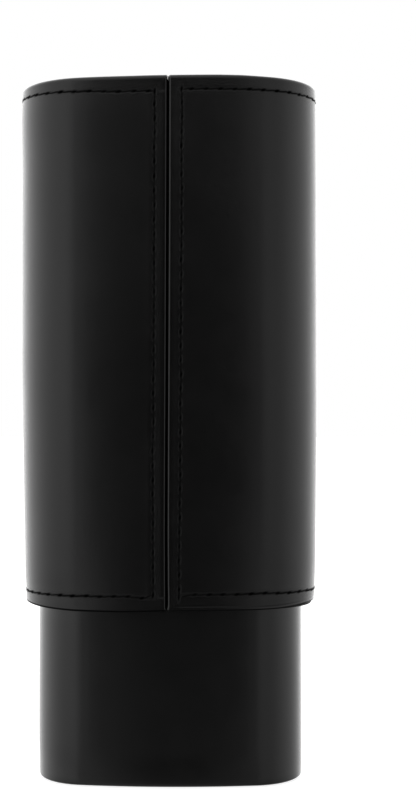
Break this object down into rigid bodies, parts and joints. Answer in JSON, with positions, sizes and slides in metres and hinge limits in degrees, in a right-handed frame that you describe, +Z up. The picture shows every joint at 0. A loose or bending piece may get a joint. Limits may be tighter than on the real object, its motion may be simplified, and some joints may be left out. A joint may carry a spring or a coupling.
{
  "type": "telescopic leather case",
  "caption": "Oval two-part leather case: a stitched outer sleeve, closed at the top, slides off an open-topped inner cup.",
  "frame": {"origin": "centre of the flat foot under the cup, on the surface it stands on", "axes": "+Z up along the sliding direction, +X along the long side of the oval, +Y along its short side; the sleeve's butt seam faces -Y"},
  "size_m": [0.0836, 0.042, 0.1958],
  "materials": {
    "shell_leather": "smooth black cowhide with a fine grain and a soft sheen",
    "cup_leather": "smooth black cowhide, slightly glossier where the sleeve rubs it",
    "edge_leather": "thin black leather edging, cut edges painted and burnished",
    "thread": "waxed black twisted thread",
    "rigid_board": "dense grey-brown bookbinding board",
    "seam_tape": "thin black woven backing tape",
    "lining": "thin dark suede split"
  },
  "bodies": {
    "cup": {"cup_leather_wrap": "cup_leather", "cup_seam_strip": "seam_tape", "cup_core_tube": "rigid_board", "cup_lining": "lining", "cup_foot_leather": "cup_leather", "cup_end_board": "rigid_board", "cup_floor_lining": "lining"},
    "sleeve": {"sleeve_leather_wrap": "shell_leather", "sleeve_seam_strip": "seam_tape", "sleeve_core_tube": "rigid_board", "sleeve_lining": "lining", "sleeve_mouth_binding": "edge_leather", "sleeve_end_leather": "shell_leather", "sleeve_end_board": "rigid_board", "sleeve_ceiling_lining": "lining", "crown_stitching": "thread", "mouth_stitching": "thread", "seam_stitching_left": "thread", "seam_stitching_right": "thread"}
  },
  "joints": [
    {"name": "sleeve_slide", "type": "slide", "parent": "cup", "child": "sleeve", "axis": [0, 0, 1], "range_m": [-0.045, 0.1]}
  ]
}
